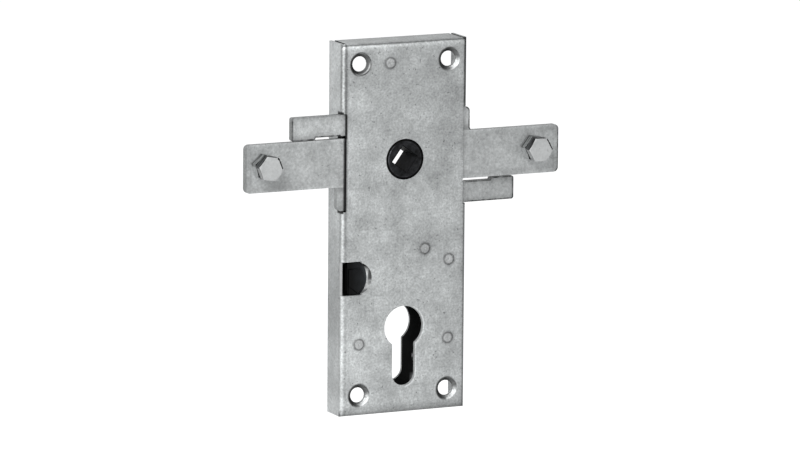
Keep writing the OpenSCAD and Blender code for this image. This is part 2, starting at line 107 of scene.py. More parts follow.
def draw(tree, kind, inputs, out=0, **settings):
    # a new node whose inputs take constants or other values
    node = tree.nodes.new(kind)
    for key, value in settings.items():
        setattr(node, key, value)
    for key, value in inputs.items():
        if isinstance(value, Level):
            tree.links.new(value.socket, node.inputs[key])
        else:
            node.inputs[key].default_value = value
    return Level(tree, node.outputs[out])


# ---- camera, light and floor
cameraLook = {
    "yaw": 25.3764,
    "elevation": 10.1937,
    "roll": 0.4636,
    "distance": 2.8375,
    "target": (0, -0.0135, 0),
    "lens": 310.49,
    "sensor": 36,
    "shift": (-0.00544, 0.00318),
    "clip": (0.05, 50),
}


def placeCamera(look):
    yaw, rise, roll = (math.radians(look[k]) for k in ("yaw", "elevation", "roll"))
    level = math.cos(rise)
    forward = Vector((math.sin(yaw) * level, math.cos(yaw) * level, -math.sin(rise)))
    side = Vector((math.cos(yaw), -math.sin(yaw), 0))
    up = side.cross(forward)
    sideRolled = side * math.cos(roll) + up * math.sin(roll)
    upRolled = up * math.cos(roll) - side * math.sin(roll)
    place = Matrix((sideRolled, upRolled, -forward)).transposed().to_4x4()
    place.translation = Vector(look["target"]) - forward * look["distance"]
    camera = bpy.data.cameras.new("camera")
    camera.lens = look["lens"]
    camera.sensor_width = look["sensor"]
    camera.shift_x, camera.shift_y = look["shift"]
    camera.clip_start, camera.clip_end = look["clip"]
    holder = bpy.data.objects.new("camera", camera)
    holder.matrix_world = place
    scene.collection.objects.link(holder)
    scene.camera = holder


lightLook = {
    "ambient": 0.29,
    "sky": (0.97, 0.985, 1, 1),
    "lamps": {
        "keyLamp": {"from": (-0.62, -0.58, 0.56), "distance": 1.6, "size": 0.9, "level": 0.62},
        "frontLamp": {"from": (0.15, -0.95, 0.2), "distance": 2.0, "size": 0.8, "level": 0.08},
    },
}
floorLook = {"z": -0.125, "size": 6, "colour": (0.85, 0.85, 0.85, 1), "glow": 0.75}


def seenDirectly(tree):
    # 1 for rays that show the backdrop: from the camera, mirrored or let through
    rays = draw(tree, "ShaderNodeLightPath", {}).socket.node.outputs
    kinds = ("Is Camera Ray", "Is Glossy Ray", "Is Transmission Ray")
    seen, mirrored, through = (Level(tree, rays[kind]) for kind in kinds)
    return seen.most(mirrored).most(through)


def endTree(tree, kind, light, backdrop):
    # one look as the source of light, the other where it is seen
    mix = draw(tree, "ShaderNodeMixShader", {"Fac": seenDirectly(tree), 1: light, 2: backdrop})
    tree.links.new(mix.socket, tree.nodes.new(kind).inputs["Surface"])


def lightStudio(look):
    world = bpy.data.worlds.new("studio")
    scene.world = world
    world.use_nodes = True
    tree = world.node_tree
    tree.nodes.clear()
    soft = draw(tree, "ShaderNodeBackground", {"Color": look["sky"], "Strength": look["ambient"]})
    white = draw(tree, "ShaderNodeBackground", {"Color": (1, 1, 1, 1), "Strength": 1})
    endTree(tree, "ShaderNodeOutputWorld", soft, white)
    for name, lamp in look["lamps"].items():
        light = bpy.data.lights.new(name, "AREA")
        light.shape = "DISK"
        light.size = lamp["size"]
        # level 1 lights a surface that faces the lamp as a white world of strength 1 would
        light.energy = lamp["level"] * math.pi**2 * lamp["distance"]**2
        holder = bpy.data.objects.new(name, light)
        way = Vector(lamp["from"]).normalized()
        holder.location = way * lamp["distance"]
        holder.rotation_euler = way.to_track_quat("Z", "Y").to_euler()
        scene.collection.objects.link(holder)


def layFloor(look):
    bm = bmesh.new()
    bmesh.ops.create_grid(bm, x_segments=1, y_segments=1, size=look["size"])
    bmesh.ops.translate(bm, verts=bm.verts, vec=(0, 0, look["z"]))
    mesh = bpy.data.meshes.new("floor")
    bm.to_mesh(mesh)
    bm.free()
    floor = bpy.data.objects.new("floor", mesh)
    scene.collection.objects.link(floor)
    material = bpy.data.materials.new("floorWhite")
    material.use_nodes = True
    tree = material.node_tree
    tree.nodes.clear()
    matt = draw(tree, "ShaderNodeBsdfDiffuse", {"Color": look["colour"]})
    glow = draw(tree, "ShaderNodeEmission", {"Strength": look["glow"]})
    both = draw(tree, "ShaderNodeAddShader", {0: matt, 1: glow})
    endTree(tree, "ShaderNodeOutputMaterial", matt, both)
    mesh.materials.append(material)


placeCamera(cameraLook)
lightStudio(lightLook)
layFloor(floorLook)
print("camera, lamps and floor placed")


# ---- finishes
unshaded = (1, 1, 1, 1)


def millimetres(tree, stretch=(1, 1, 1)):
    # object coordinates in millimetres, stretched to draw a grain
    place = draw(tree, "ShaderNodeTexCoord", {}, "Object")
    return draw(tree, "ShaderNodeMapping", {"Vector": place, "Scale": tuple(s / mm for s in stretch)})


def parted(tree):
    # the object's x, y and z in millimetres
    made = draw(tree, "ShaderNodeSeparateXYZ", {0: millimetres(tree)})
    return [Level(tree, socket) for socket in made.socket.node.outputs]


def noise(place, size, detail, rough):
    # noise whose patches are about this many millimetres wide
    settings = {"Scale": 1 / size, "Detail": detail, "Roughness": rough}
    return draw(place.tree, "ShaderNodeTexNoise", {"Vector": place, **settings}, "Fac")


def wavering(tree, size, amount, detail=3, rough=0.6):
    return noise(millimetres(tree), size, detail, rough).levelled(-amount, amount)


def fromAxis(a, b, atA=0.0, atB=0.0):
    # distance from an axis, from the two coordinates across it
    overA, overB = a - atA, b - atB
    return (overA * overA + overB * overB).worked("SQRT")


def leaning(across, up, lean):
    # how far a place lies to one side, from its two offsets and their weights
    return across * lean[0] + up * lean[1]


def tinted(tree, colour, factor):
    # a colour multiplied by a factor
    mix = {"data_type": "RGBA", "blend_type": "MULTIPLY"}
    return draw(tree, "ShaderNodeMix", {0: 1.0, 6: colour, 7: factor}, 2, **mix)


# ---- painted light and shade of the case's front and folds
foldLook = {
    # painted highlights and painted shade as grey factors along each fold: 0 to 1 round the bend, less on the
    # wall and more on the front
    "inX": 26.25, "inY": 11.5, "inZ": 75.5, "turns": (-0.4, 1.6), "waver": (2.6, 0.04),
    "leftFade": (-25.0, 20.0), "rightFade": (45.0, 52.0),
    "broadZ": (-75.0, 75.0, 1.24, 0.96), "broadX": (-28.0, 28.0, 0.09, -0.1),
    "left": {"axis": "X", "way": -1.0,
             "stops": [(-0.34, 1), (-0.1, 0.74), (0.1, 0.6), (0.26, 0.85), (0.38, 1.45), (0.54, 1.5),
                       (0.66, 0.75), (0.78, 0.36), (0.92, 0.42), (1.1, 0.85), (1.3, 1)]},
    "leftLow": {"axis": "X", "way": -1.0,
                "stops": [(-0.3, 1), (-0.06, 0.85), (0.1, 0.75), (0.26, 1.1), (0.38, 1.42), (0.56, 1.38),
                          (0.74, 1), (0.9, 0.85), (1.2, 1)]},
    "top": {"axis": "Z", "way": 1.0,
            "stops": [(-0.2, 1), (0.3, 0.9), (0.42, 0.5), (0.54, 0.46), (0.62, 1.2), (0.76, 1.62), (0.9, 1.42),
                      (1.1, 1.15), (1.5, 1)]},
    "right": {"axis": "X", "way": 1.0,
              "stops": [(-0.3, 1), (-0.1, 0.4), (0.1, 0.04), (0.76, 0.04), (0.87, 0.5), (0.98, 0.95),
                        (1.2, 1)]},
    "rightLow": {"axis": "X", "way": 1.0,
                 "stops": [(-0.3, 1), (-0.1, 0.4), (0.1, 0.28), (0.62, 0.3), (0.8, 0.68), (0.95, 0.92),
                           (1.5, 1)]},
    "bottom": {"axis": "Z", "way": -1.0,
               "stops": [(-0.3, 1), (-0.1, 0.5), (0.22, 0.25), (0.5, 0.5), (0.85, 0.68), (1.2, 0.75),
                         (1.6, 1)]},
}


def bendShade(place, fold, waver):
    look = foldLook[fold]
    axis = look["axis"]
    out = place[axis] * look["way"] - foldLook["in" + axis]
    front = place["Y"] * -1.0 - foldLook["inY"]
    turn = front.worked("ARCTAN2", out).worked("DIVIDE", math.pi / 2)
    low, high = foldLook["turns"]
    stops = [((turnedBy - low) / (high - low), level) for turnedBy, level in look["stops"]]
    return (turn + waver).ramp(stops, (low, high))


def caseShade(tree):
    # the folds' painted highlights and painted shade lines; the side ones fade towards the lower end
    look = foldLook
    waver = wavering(tree, *look["waver"])
    x, y, z = parted(tree)
    folds = ("left", "leftLow", "top", "right", "rightLow", "bottom")
    bends = {fold: bendShade({"X": x, "Y": y, "Z": z}, fold, waver) for fold in folds}
    left = z.over(*look["leftFade"]).mixed(bends["leftLow"], bends["left"])
    right = z.over(*look["rightFade"]).mixed(bends["rightLow"], bends["right"])
    # painted light: the front is lighter towards the lower left and darker towards the upper right
    broad = z.over(*look["broadZ"]) + x.over(*look["broadX"])
    folded = left * right * bends["top"] * bends["bottom"]
    return folded * outlineShade(tree) * broad * stakeShade(tree) * windowShade(tree) * cutShade(tree)


wallLook = {
    "span": (-77.5, 77.5),
    "up": [(0, 0.96), (0.13, 0.88), (0.24, 0.74), (0.33, 0.68), (0.4, 0.72), (0.46, 0.88), (0.57, 1.12),
           (1, 1.18)],
}


def wallShade(tree):
    # painted light and shade: the side walls are lightest at their upper ends and darkest beside the thumb
    # window
    return caseShade(tree) * parted(tree)[2].ramp(wallLook["up"], wallLook["span"])


cutLook = {
    "axisZ": -41.5, "roundR": 8.7, "legR": 5.1, "lowZ": -61.1, "width": 1.2,
    "leanZ": -51.0, "lean": 0.12, "fade": (1.0, 4.0),  # the line past which the rim shines
    "rim": [(0, 0.8), (0.15, 1.0), (0.3, 1.45), (0.55, 1.35), (0.85, 1.0), (1, 1)],
}


def cutShade(tree):
    # painted highlight: the pressed edge of the cylinder cut-out shines at its right side
    look = cutLook
    x, y, z = parted(tree)
    middle = z.most(look["lowZ"]).least(look["axisZ"])
    pastRound = fromAxis(x, z, 0.0, look["axisZ"]) - look["roundR"]
    outside = pastRound.least(fromAxis(x, z, 0.0, middle) - look["legR"])
    line = (z - look["leanZ"]) * look["lean"]
    return (x - line).over(*look["fade"]).mixed(unshaded, outside.ramp(look["rim"], (0.0, look["width"])))


stakeLook = {
    "spacers": ((-6.8, 68.8), (-20.2, -47.6), (20.2, -47.6)), "pivot": (9.5, -9.4), "springPost": (20.5, -14.6),
    "reach": 5.0, "waver": (2, 0.2, 2, 0.5),
    "ring": [(0, 1.1), (0.3, 1.02), (0.42, 0.6), (0.51, 0.66), (0.58, 0.88), (0.75, 1.02), (1, 1)],
}


def stakeShade(tree):
    # painted shade where the sheet is pressed softly round each staked end: a soft dark ring
    look = stakeLook
    x, y, z = parted(tree)
    away = fromAxis(x, z, *look["pivot"])
    for place in (*look["spacers"], look["springPost"]):
        away = away.least(fromAxis(x, z, *place))
    return (away + wavering(tree, *look["waver"])).ramp(look["ring"], (0.0, look["reach"]))


windowLook = {
    "axisZ": 28.5, "half": 20.2, "edgeX": (-27.5, -25.5), "tabZ": (38.2, 38.8), "endFade": (-0.4, 0.0),
    "lipReach": 2.0, "wallY": (-9.2, -8.4, 1.0, 0.0), "wallX": (27.2, 27.6),
    "besideArm": [(0, 1), (0.44, 1), (0.46, 0.52), (0.62, 0.6), (0.78, 0.85), (0.95, 1)],
    "besideTab": [(0, 1), (0.44, 1), (0.46, 0.06), (0.6, 0.08), (0.76, 0.8), (0.9, 1)],
    "lip": [(0, 0.05), (0.38, 0.06), (0.5, 0.8), (0.7, 1)],
}


def windowShade(tree):
    # painted shadow along the left side window and on the lips above and below both windows
    look = windowLook
    x, y, z = parted(tree)
    beyond = abs(z - look["axisZ"]) - look["half"]
    arm, tab = (x.ramp(look[key], look["edgeX"]) for key in ("besideArm", "besideTab"))
    strip = beyond.over(*look["endFade"]).mixed(z.over(*look["tabZ"]).mixed(arm, tab), unshaded)
    onWall = y.over(*look["wallY"]) * abs(x).over(*look["wallX"])
    return strip * onWall.mixed(unshaded, beyond.ramp(look["lip"], (0.0, look["lipReach"])))


sinkLook = {
    "x": 20.0, "z": 69.0, "waver": (1.1, 0.06),
    "rimLean": (-0.8, 0.6), "rimSpan": (-4.2, 4.2), "leftLean": (-1.0, 0.2), "leftSpan": (-4.5, 4.5),
    # only on the upper left one is the painted highlight narrow and weaker
    "wide": 0.55, "wideX": (-10.0, 10.0), "wideZ": (-10.0, 10.0, 1.0, 0.0),
    "wideGlint": (0.0, 1.0, 1.0, 1.35),
    "innerFade": (3.8, 4.05), "outerFade": (4.2, 4.4), "outerShare": 0.6,
    "greyLean": (0.75, 0.66), "greyFade": (2.2, 4.0, 0.0, 0.85), "grey": (0.42, 0.42, 0.42, 1),
    "rim": [(0, 1.5), (0.06, 1.4), (0.13, 0.9), (0.22, 0.4), (0.34, 0.16), (0.5, 0.05), (0.85, 0.04),
            (1, 0.12)],
    "deep": [(0, 0.4), (0.2, 0.3), (0.4, 0.12), (0.7, 0.05), (1, 0.08)],
    "outer": [(0, 0.6), (0.08, 0.3), (0.3, 0.25), (0.42, 0.5), (0.58, 0.9), (0.7, 0.3), (0.82, 0.06),
              (1, 0.04)],
}
outlineLook = {
    "ring": (4.0, 6.0), "lean": (-1.0, 0.4), "fade": (-2.5, 1.5),
    "stops": [(0, 0.06), (0.42, 0.1), (0.58, 0.7), (0.7, 1)],
}


def fromHoles(tree):
    # offsets from the nearest fixing hole, and the distance from its axis
    x, y, z = parted(tree)
    across, up = (value - value.worked("SIGN") * sinkLook[key] for key, value in (("x", x), ("z", z)))
    return across, up, fromAxis(across, up)


def outlineShade(tree):
    # painted shade: a dark line on the front round the left side of each countersink
    look = outlineLook
    across, up, away = fromHoles(tree)
    side = leaning(across, up, look["lean"]).over(*look["fade"])
    return side.mixed(unshaded, away.ramp(look["stops"], look["ring"]))


def sinkShade(tree):
    # the countersinks: a painted highlight at the lower right of the rim, painted shade at the upper left and
    # deeper in
    look = sinkLook
    across, up, away = fromHoles(tree)
    waver = wavering(tree, *look["waver"])
    side, left = (leaning(across, up, look[key + "Lean"]).over(*look[key + "Span"]) + waver
                  for key in ("rim", "left"))
    x, y, z = parted(tree)
    wide = x.over(*look["wideX"]).most(z.over(*look["wideZ"]))
    wearAndGlint = side.ramp(look["rim"]) * wide.over(*look["wideGlint"])
    wide = wide * look["wide"]
    inner = (away + wide).over(*look["innerFade"]).mixed(side.ramp(look["deep"]), wearAndGlint)
    inner = leaning(across, up, look["greyLean"]).over(*look["greyFade"]).mixed(inner, look["grey"])
    outer = away - wide * look["outerShare"]
    return outer.over(*look["outerFade"]).mixed(inner, left.ramp(look["outer"]))


crescentLook = {
    "alongZ": (-27.0, -12.7), "edgeX": (-16.4, -15.8),
    "near": [(0, 0.5), (0.25, 0.55), (0.42, 1.2), (0.6, 1.5), (0.7, 0.9), (0.78, 0.4), (0.86, 0.04),
             (1, 0.03)],
    "far": [(0, 0.6), (0.42, 0.5), (0.48, 0.12), (0.7, 0.1), (0.85, 0.4), (1, 0.35)],
}


def crescentShade(tree):
    # the pressed bevel of the thumb window: a painted highlight in the middle of its inner half, painted shade
    # at its top
    look = crescentLook
    x, y, z = parted(tree)
    near, far = (z.ramp(look[key], look["alongZ"]) for key in ("near", "far"))
    return x.over(*look["edgeX"]).mixed(near, far)


innerLook = {"highZ": (63.5, 65.5), "wideX": (8.5, 11.5), "topZ": (73.5, 75.0, 1.0, 0.1), "levels": (0.02, 1.9)}


def innerShade(tree):
    # painted shade: dark inside the case, light on the plate at the open corners
    look = innerLook
    x, y, z = parted(tree)
    corner = abs(z).over(*look["highZ"]) * z.over(*look["topZ"]) * abs(x).over(*look["wideX"])
    return corner.over(0.0, 1.0, *look["levels"])


# ---- painted light and shade of the slides, the screw, the follower and the snib
slideLook = {
    # grey factors along X at the ends of the arms and tabs, and along Z away from the slides' middle height
    "middleZ": 28.5, "waver": (2.5, 0.3),
    "armEndX": (66.0, 71.0),
    "armEnd": [(0, 1), (0.4, 0.95), (0.56, 0.84), (0.66, 0.95), (0.86, 0.9), (0.94, 0.6), (1, 0.6)],
    "tabEndX": (48.5, 50.5), "tabEnd": [(0, 1), (0.5, 0.95), (0.68, 0.6), (0.9, 0.5), (1, 0.7)],
    "heightZ": (0.0, 10.0),
    "height": [(0, 1), (0.66, 1), (0.8, 0.92), (0.9, 0.96), (0.97, 1.06), (1, 1.06)],
    "onTab": (10.1, 10.2), "tabZ": (10.4, 20.0),
    "tab": [(0, 0.62), (0.1, 0.68), (0.22, 0.84), (0.35, 0.97), (0.75, 0.95), (0.88, 0.8), (1, 0.72)],
    # painted shadow on the left arm beside its window
    "slotX": (-28.0, -26.0), "slotZ": (38.2, 38.6),
    "slot": [(0, 1), (0.3, 1), (0.5, 0.45), (0.6, 0.12), (0.85, 0.12), (1, 1)],
    "sideX": (-1.0, 1.0), "upZ": (8.0, 49.0),
    "leftUp": [(0, 0.9), (0.24, 0.94), (0.27, 1), (0.73, 1), (0.76, 1.06), (1, 1.08)],
    "rightUp": [(0, 0.82), (0.24, 0.85), (0.27, 1), (0.73, 1), (0.76, 1.06), (1, 1.08)],
}


def slideShade(tree):
    # ends and edges of arms and tabs a little darker; a painted shadow on the left arm where it leaves its
    # window
    look = slideLook
    x, y, z = parted(tree)
    reach, apart = abs(x), abs(z - look["middleZ"])
    rise = apart + wavering(tree, *look["waver"])
    tab = reach.ramp(look["tabEnd"], look["tabEndX"]) * rise.ramp(look["tab"], look["tabZ"])
    slot = x.ramp(look["slot"], look["slotX"])
    leftUp, rightUp = (z.ramp(look[key], look["upZ"]) for key in ("leftUp", "rightUp"))
    arm = reach.ramp(look["armEnd"], look["armEndX"]) * rise.ramp(look["height"], look["heightZ"])
    return (arm * apart.over(*look["onTab"]).mixed(unshaded, tab) * z.over(*look["slotZ"]).mixed(slot, unshaded)
            * x.over(*look["sideX"]).mixed(leftUp, rightUp))


edgeLineLook = {
    "rightX": (28.2, 28.6), "beside": (10.1, 10.2), "leftX": (-28.6, -28.2, 1.0, 0.0), "tabZ": (38.6, 38.7),
    "topZ": (46.8, 47.6, 1.0, 0.25), "endX": (69.4, 69.8, 0.0, 0.9),
    "noise": (2.2, 3, 0.6), "levels": (0.38, 0.66, 0.1, 0.7),
}


def edgeLineShade(tree):
    # a narrow strip along a slide's front edges, dark in places on the tabs, the right stem and the right end
    look = edgeLineLook
    x, y, z = parted(tree)
    right = x.over(*look["rightX"]) * abs(z - slideLook["middleZ"]).over(*look["beside"])
    left = x.over(*look["leftX"]) * z.over(*look["tabZ"]) * z.over(*look["topZ"])
    lined = right.most(left).most(x.over(*look["endX"]))
    level = noise(millimetres(tree), *look["noise"]).over(*look["levels"])
    return slideShade(tree) * lined.mixed(unshaded, level)


screwTipLook = {"y": -4.7, "z": -55.6, "highlight": (0.6, 1.0, 20.0, 1.0)}


def screwShade(tree):
    # painted highlight: only the middle of the screw's tip is light
    x, y, z = parted(tree)
    return fromAxis(y, z, screwTipLook["y"], screwTipLook["z"]).over(*screwTipLook["highlight"])


followerRingLook = {
    "axisZ": 28.5, "ring": (6.9, 7.9), "litLean": (-1.0, 0.45), "litSpan": (6.0, 8.2),
    "stops": [(0, 1), (0.2, 1), (0.36, 1.9), (0.52, 1.6), (0.62, 0.12), (1, 0.08)],
    "lit": [(0, 1), (0.2, 1.3), (0.36, 10), (0.52, 8), (0.62, 0.12), (1, 0.08)],
}


def ringShade(tree):
    # the follower's rim: a painted highlight that fades from left to right, and black painted shadow outside it
    look = followerRingLook
    x, y, z = parted(tree)
    rise = z - look["axisZ"]
    away = fromAxis(x, rise)
    plain, lit = (away.ramp(look[key], look["ring"]) for key in ("stops", "lit"))
    return leaning(x, rise, look["litLean"]).over(*look["litSpan"]).mixed(plain, lit)


snibSheenLook = {
    "alongX": (-25.5, -15.5),
    "stops": [(0, 0.15), (0.2, 0.25), (0.4, 1.5), (0.65, 2.6), (0.82, 5), (0.92, 11), (1, 12)],
}


def snibShade(tree):
    # painted sheen: the pad is lighter towards its round end, and black painted shade beside the fold
    return parted(tree)[0].ramp(snibSheenLook["stops"], snibSheenLook["alongX"])


# ---- zinc and steel
zincBase = {"metallic": 0.25, "rough": 0.5, "mottle": 0.3, "specks": 0.3, "grain": 0.010, "gleam": 0.3}
zincLook = {
    # what differs from the common look; specks are a strength and the grain is a height in millimetres
    "caseZinc": {"colour": (0.415, 0.428, 0.428), "specks": 0.5, "grain": 0.014, "rolled": 0.02,
                 "scratches": 0.4, "shade": caseShade},
    "pressedZinc": {"colour": (0.46, 0.47, 0.47), "metallic": 0.3, "rough": 0.42, "specks": 0.4,
                    "shade": crescentShade},
    "innerZinc": {"colour": (0.36, 0.37, 0.37), "metallic": 0.2, "rough": 0.6, "mottle": 0.25, "grain": 0.012,
                  "shade": innerShade},
    "slideZinc": {"colour": (0.45, 0.463, 0.463), "rough": 0.48, "mottle": 0.24, "grain": 0.012, "rolled": 0.03,
                  "scratches": 0.25, "shade": slideShade},
    "edgeZinc": {"colour": (0.27, 0.278, 0.278), "metallic": 0.3, "specks": 0.25, "grain": 0.014,
                 "rolled": 0.15},
    "postZinc": {"colour": (0.44, 0.45, 0.45), "mottle": 0.25, "specks": 0.25, "grain": 0.014},
    # painted shade in the grooves round the staked ends
    "grooveZinc": {"colour": (0.26, 0.265, 0.265), "metallic": 0.1, "rough": 0.6, "mottle": 0.35,
                   "grain": 0.012},
    # black for painted shadow in gaps, slots and cut edges
    "paintedShadowBlack": {"colour": (0.006, 0.006, 0.0065), "metallic": 0.0, "rough": 0.7, "specks": 0.0,
                  "grain": 0.012, "gleam": 0.08},
    "boltZinc": {"colour": (0.50, 0.51, 0.51), "metallic": 0.2, "rough": 0.45, "mottle": 0.1, "specks": 0.2,
                 "grain": 0.008},
    # painted reflection and shade: the bolt and nut flats are darker or lighter by the way each faces
    "boltFlat": {"colour": (0.045, 0.047, 0.048), "metallic": 0.1, "mottle": 0.35, "banded": 0.8,
                 "gleam": 0.12},
    "boltSide": {"colour": (0.3, 0.305, 0.305), "metallic": 0.15, "banded": 0.3},
    "nutFlat": {"colour": (0.15, 0.155, 0.155), "metallic": 0.15, "banded": 0.55},
    # painted shade: the screw inside the case is near black
    "screwDark": {"colour": (0.02, 0.02, 0.021), "metallic": 0.1, "mottle": 0.2, "specks": 0.0,
                  "shade": screwShade},
    "threadZinc": {"colour": (0.36, 0.37, 0.37), "metallic": 0.5, "rough": 0.38, "mottle": 0.15, "specks": 0.2,
                   "grain": 0.006},
    "springSteel": {"colour": (0.2, 0.2, 0.205), "metallic": 0.7, "rough": 0.36, "mottle": 0.2, "specks": 0.15,
                    "grain": 0.004},
}
zincLook = {name: {**zincBase, **look} for name, look in zincLook.items()}
zincLook["edgeLineZinc"] = dict(zincLook["slideZinc"], shade=edgeLineShade)
zincLook["wallZinc"] = dict(zincLook["caseZinc"], mottle=0.22, shade=wallShade)
zincLook["sinkZinc"] = dict(zincLook["pressedZinc"], gleam=0.12, metallic=0.1, shade=sinkShade)
mottleLook = {
    # each noise's size in millimetres, detail and roughness
    "cloud": (14, 2, 0.5), "patch": (2.8, 4, 0.65), "fine": (0.9, 3, 0.65), "spot": (1.3, 2, 0.5),
    "rolled": (0.9, 3, 0.6), "band": (1.0, 1, 0.5), "scratch": (0.7, 2, 0.5),
    "shares": {"cloud": 0.75, "patch": 0.5, "fine": 0.9},  # of a finish's mottle
    "spots": (0.68, 0.74), "bands": (0.44, 0.56), "bandGlint": 1.3, "scratches": (0.68, 0.74),
    "scratched": (0.54, 0.6), "scratchTurn": (0, 0.6, 0), "scratchStretch": (1.6, 1, 0.16),
    "rolledStretch": (1, 1, 0.06), "bandStretch": (0.05, 1, 0.05),
    "patchGloss": 0.06, "cloudGloss": 0.05, "patchHeight": 0.8, "bump": 0.8,
}


def startMaterial(name):
    material = bpy.data.materials.new(name)
    material.use_nodes = True
    return material, material.node_tree


def fitShader(tree, look, colour, gloss, height, bump):
    shader = tree.nodes["Principled BSDF"]
    shader.inputs["Metallic"].default_value = look["metallic"]
    shader.inputs["Specular IOR Level"].default_value = look["gleam"]
    relief = draw(tree, "ShaderNodeBump", {"Height": height, "Strength": bump, "Distance": look["grain"] * mm})
    for key, value in (("Base Color", colour), ("Roughness", gloss), ("Normal", relief)):
        tree.links.new(value.socket, shader.inputs[key])


def zincMaterial(name, look):
    material, tree = startMaterial(name)
    place = millimetres(tree)
    cloud, patch, fine, spot = (noise(place, *mottleLook[key]) for key in ("cloud", "patch", "fine", "spot"))
    factors = []
    for value, key in ((cloud, "cloud"), (patch, "patch"), (fine, "fine")):
        strength = mottleLook["shares"][key] * look["mottle"]
        factors.append(value.levelled(1 - strength, 1 + strength))
    factors.append(spot.over(*mottleLook["spots"], 1, 1 - look["specks"]))
    if "rolled" in look:
        rolled = noise(millimetres(tree, mottleLook["rolledStretch"]), *mottleLook["rolled"])
        factors.append(rolled.levelled(1 - look["rolled"], 1 + look["rolled"]))
    if "banded" in look:
        # lighter and darker bands that follow the depth, a painted sheen on the flanks
        band, depth = noise(millimetres(tree, mottleLook["bandStretch"]), *mottleLook["band"]), look["banded"]
        factors.append(band.over(*mottleLook["bands"], 1 - depth, 1 + mottleLook["bandGlint"] * depth))
    if "scratches" in look:
        # short slanting scratches in a few patches only
        slant = {"Rotation": mottleLook["scratchTurn"], "Scale": mottleLook["scratchStretch"]}
        line = noise(draw(tree, "ShaderNodeMapping", {"Vector": place, **slant}), *mottleLook["scratch"])
        mark = line.over(*mottleLook["scratches"], 0, look["scratches"]) * cloud.over(*mottleLook["scratched"])
        factors.append(mark * -1.0 + 1.0)
    if "shade" in look:
        factors.append(look["shade"](tree))
    colour = tinted(tree, (*look["colour"], 1), math.prod(factors[1:], start=factors[0]))
    uneven, rough = mottleLook["cloudGloss"], look["rough"]
    gloss = patch.levelled(-mottleLook["patchGloss"], mottleLook["patchGloss"])
    gloss = gloss + cloud.levelled(rough - uneven, rough + uneven)
    fitShader(tree, look, colour, gloss, fine + patch * mottleLook["patchHeight"], mottleLook["bump"])
    return material


# ---- black plastic
plasticLook = {
    # the cloud's size in millimetres, and the darkest and lightest factor that it gives
    "followerBlack": {"colour": (0.0125, 0.013, 0.014), "rough": 0.5, "grain": 0.04, "rub": 0.04, "gleam": 0.08,
                      "scale": 1.8, "blotch": (0.0, 2.3)},
    "followerRim": {"colour": (0.0125, 0.013, 0.014), "rough": 0.5, "grain": 0.03, "rub": 0.035, "gleam": 0.07,
                    "scale": 1.8, "blotch": (0.1, 2.2), "shade": ringShade},
    # painted shade: the follower's bore is darker
    "followerBore": {"colour": (0.0095, 0.01, 0.0108), "rough": 0.6, "grain": 0.03, "rub": 0.02, "gleam": 0.05,
                     "scale": 1.8, "blotch": (0.0, 2.3)},
    "snibBlack": {"colour": (0.0055, 0.006, 0.0065), "rough": 0.42, "grain": 0.010, "rub": 0.007, "gleam": 0.08,
                  "scale": 3.5, "blotch": (0.6, 1.45), "shade": snibShade},
    # painted shade: the snib's slope that faces the lower left, and the slanted faces in the follower's bore
    "snibSlope": {"colour": (0.003, 0.0032, 0.0035), "rough": 0.5, "grain": 0.010, "rub": 0.006, "gleam": 0.05,
                  "scale": 3.5, "blotch": (0.6, 1.45)},
}
scuffLook = {
    "cloud": (4, 0.6), "fine": (0.35, 2, 0.5), "scuff": (0.8, 4, 0.7), "stretch": (1, 1, 0.25),
    "scuffed": (0.62, 0.8), "strength": 0.6, "blue": 1.05, "gloss": 0.07, "bump": 0.6,
}


def plasticMaterial(name, look):
    material, tree = startMaterial(name)
    place = millimetres(tree)
    cloud, fine = noise(place, look["scale"], *scuffLook["cloud"]), noise(place, *scuffLook["fine"])
    scuff = noise(millimetres(tree, scuffLook["stretch"]), *scuffLook["scuff"])
    colour = tinted(tree, (*look["colour"], 1), cloud.levelled(*look["blotch"]))
    rub = look["rub"]
    wearAndGlint = scuff.over(*scuffLook["scuffed"]) * scuffLook["strength"]
    colour = wearAndGlint.mixed(colour, (rub, rub, rub * scuffLook["blue"], 1))
    if "shade" in look:
        colour = tinted(tree, colour, look["shade"](tree))
    uneven, rough = scuffLook["gloss"], look["rough"]
    gloss = cloud.levelled(rough - uneven, rough + uneven)
    fitShader(tree, dict(look, metallic=0.0), colour, gloss, fine, scuffLook["bump"])
    return material


finishes = {name: zincMaterial(name, look) for name, look in zincLook.items()}
finishes.update({name: plasticMaterial(name, look) for name, look in plasticLook.items()})
print("finishes made:", len(finishes))


# ---- making of pieces
pieceBody = {n: body for body, names in frame["record"]["behaviour"]["bodies"].items() for n in names}
pieceLook = {"sharp": 32, "flat": 0.5, "merge": 0.002, "close": 0.001}  # two angles and two distances


def makePiece(name, bm, materials, node, edge=0.0, segments=2, angle=38):
    # the bmesh becomes a piece that stands for a CAD node, with its edges broken
    mesh = bpy.data.meshes.new(name)
    bm.to_mesh(mesh)
    bm.free()
    for material in materials:
        mesh.materials.append(finishes[material])
    for polygon in mesh.polygons:
        polygon.use_smooth = True
    mesh.set_sharp_from_angle(angle=math.radians(pieceLook["sharp"]))
    piece = bpy.data.objects.new(name, mesh)
    scene.collection.objects.link(piece)
    if edge:
        bevel = piece.modifiers.new("brokenEdges", "BEVEL")
        bevel.width = edge * mm
        bevel.segments = segments
        bevel.limit_method = "ANGLE"
        bevel.angle_limit = math.radians(angle)
        bevel.harden_normals = True
        bevel.use_clamp_overlap = True
    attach(piece, pieceBody[node])
    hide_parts(node)


